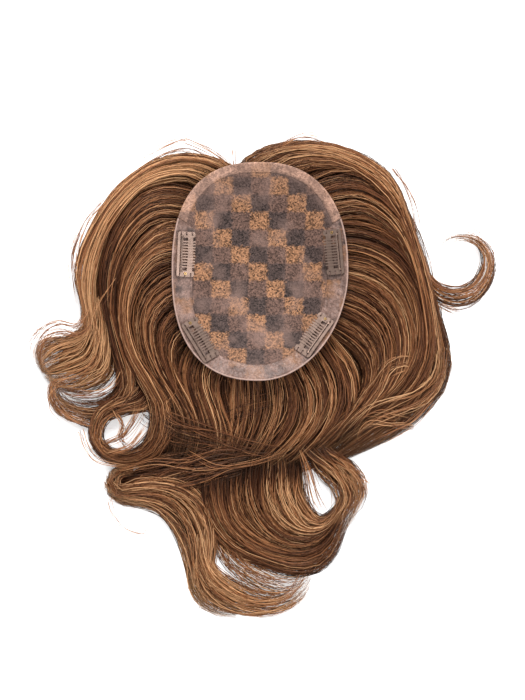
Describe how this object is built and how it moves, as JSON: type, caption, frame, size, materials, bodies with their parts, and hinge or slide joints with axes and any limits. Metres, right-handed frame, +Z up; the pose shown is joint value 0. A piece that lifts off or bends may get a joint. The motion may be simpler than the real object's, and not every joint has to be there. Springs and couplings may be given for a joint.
{
  "type": "toupee hairpiece",
  "caption": "Clip-in hair topper lying on its long wavy hair: a shallow lace cap panel with a soft edge band, snap clips with hinged combs, and fanned locks.",
  "frame": {"origin": "middle of the part's footprint on the surface that it lies on", "axes": "+Z up out of the panel's hollow, +Y towards the forehead edge, +X across the head"},
  "size_m": [0.3362, 0.3494, 0.0288],
  "materials": {
    "lace": "knotted lace under clear skin, faint sheen",
    "skin_band": "translucent soft polyurethane, satin",
    "lace_hem": "fine folded lace",
    "clip_steel": "coated spring steel, satin",
    "clip_brass": "polished brass",
    "hair": "long wavy strands, brown with copper lights, silky"
  },
  "bodies": {
    "root": {"base_mesh": "lace", "clip_back_left_eyelet": "clip_brass", "clip_back_left_frame": "clip_steel", "clip_back_right_eyelet": "clip_brass", "clip_back_right_frame": "clip_steel", "clip_left_side_eyelet": "clip_brass", "clip_left_side_frame": "clip_steel", "clip_right_side_eyelet": "clip_brass", "clip_right_side_frame": "clip_steel", "edge_band": "skin_band", "front_hem": "lace_hem", "hair_back_left": "hair", "hair_back_middle": "hair", "hair_back_right": "hair", "hair_crown": "hair", "hair_curl_left_outer": "hair", "hair_front_left": "hair", "hair_front_right": "hair", "hair_left_lower": "hair", "hair_left_middle": "hair", "hair_left_upper": "hair", "hair_right_lower": "hair", "hair_right_middle": "hair", "hair_right_upper": "hair", "hair_ring_curl_left": "hair", "hair_ring_curl_right": "hair", "hair_tail_bottom": "hair", "hair_tail_brush": "hair", "hair_tail_inner": "hair", "hair_tail_left": "hair", "hair_tail_left_arc": "hair", "hair_tail_outer": "hair"},
    "clip_left_side_comb_body": {"clip_left_side_comb": "clip_steel"},
    "clip_right_side_comb_body": {"clip_right_side_comb": "clip_steel"},
    "clip_back_left_comb_body": {"clip_back_left_comb": "clip_steel"},
    "clip_back_right_comb_body": {"clip_back_right_comb": "clip_steel"}
  },
  "joints": [
    {"name": "clip_left_side_hinge", "type": "hinge", "parent": "root", "child": "clip_left_side_comb_body", "pos_m": [-0.05723, 0.08666, 0.02656], "axis": [-0.0434, -0.9987, -0.0284], "range_deg": [0, 50]},
    {"name": "clip_right_side_hinge", "type": "hinge", "parent": "root", "child": "clip_right_side_comb_body", "pos_m": [0.05342, 0.08841, 0.02666], "axis": [-0.091, 0.9956, 0.0204], "range_deg": [0, 50]},
    {"name": "clip_back_left_hinge", "type": "hinge", "parent": "root", "child": "clip_back_left_comb_body", "pos_m": [-0.0468, 0.02439, 0.02706], "axis": [0.5214, -0.8521, 0.0448], "range_deg": [0, 50]},
    {"name": "clip_back_right_hinge", "type": "hinge", "parent": "root", "child": "clip_back_right_comb_body", "pos_m": [0.03918, 0.02767, 0.02659], "axis": [0.5751, 0.8173, -0.0346], "range_deg": [0, 50]}
  ]
}
